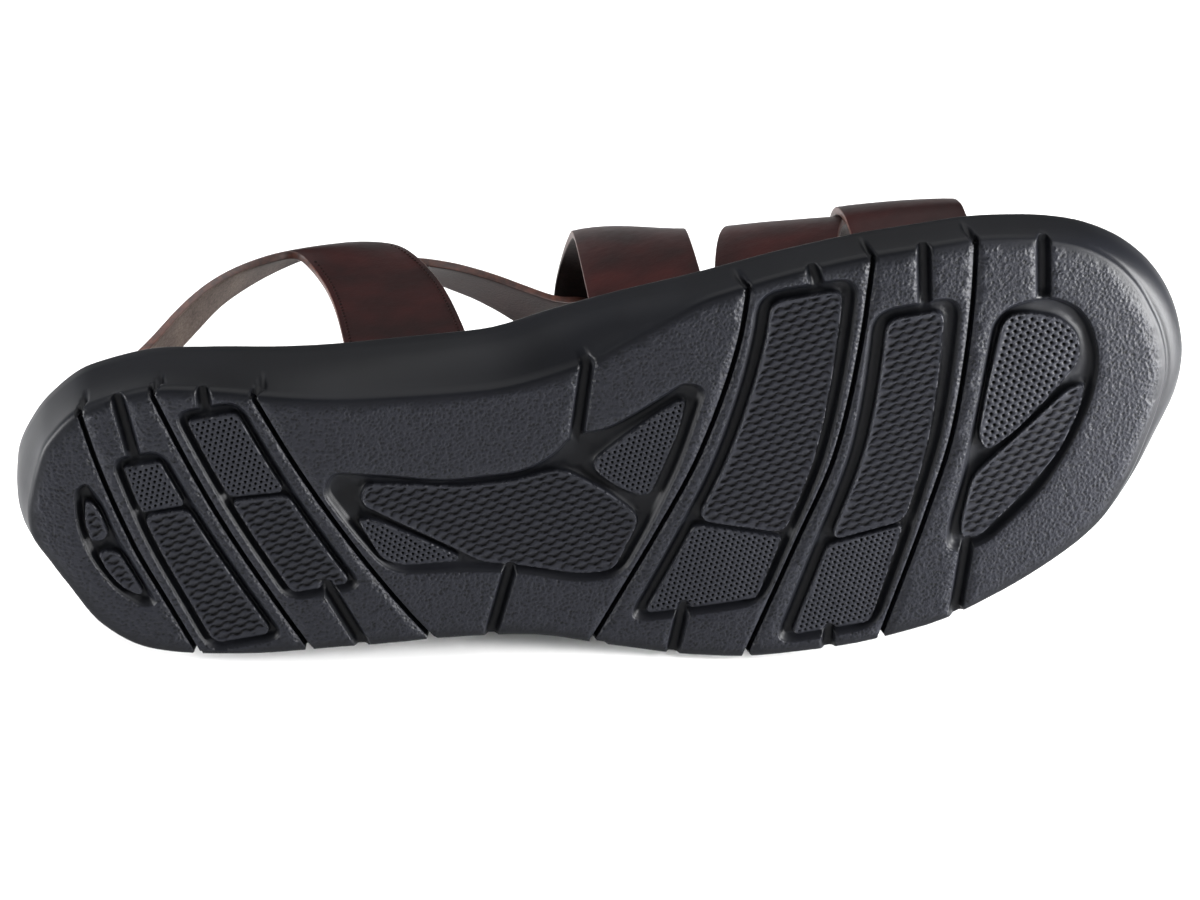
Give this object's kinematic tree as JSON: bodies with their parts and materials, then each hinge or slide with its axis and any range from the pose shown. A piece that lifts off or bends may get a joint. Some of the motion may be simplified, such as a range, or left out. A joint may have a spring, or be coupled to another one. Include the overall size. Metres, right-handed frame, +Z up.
{
  "type": "sandal",
  "caption": "Left strap sandal lying on its outer side: moulded lugged sole, leather footbed, crossed toe straps, wide instep strap and a narrow collar round the heel.",
  "frame": {"origin": "middle of the bounding box, at the floor that the sandal lies on", "axes": "+X towards the toe along the lying sandal, -Y out of the tread, +Y out of the straps' side, +Z up from the outer side to the inner side"},
  "size_m": [0.2954, 0.1076, 0.1217],
  "materials": {
    "sole_rubber": "matte moulded black compound with a pebbled tread and a smooth side wall",
    "strap_leather": "dark reddish brown oiled leather, glossy outside, rough suede inside, dark cut edges",
    "footbed_leather": "brown lining leather, softly matte"
  },
  "bodies": {
    "root": {"sole": "sole_rubber", "insole": "footbed_leather", "upper_toe_straps": "strap_leather", "upper_ankle_straps": "strap_leather"}
  },
  "joints": []
}
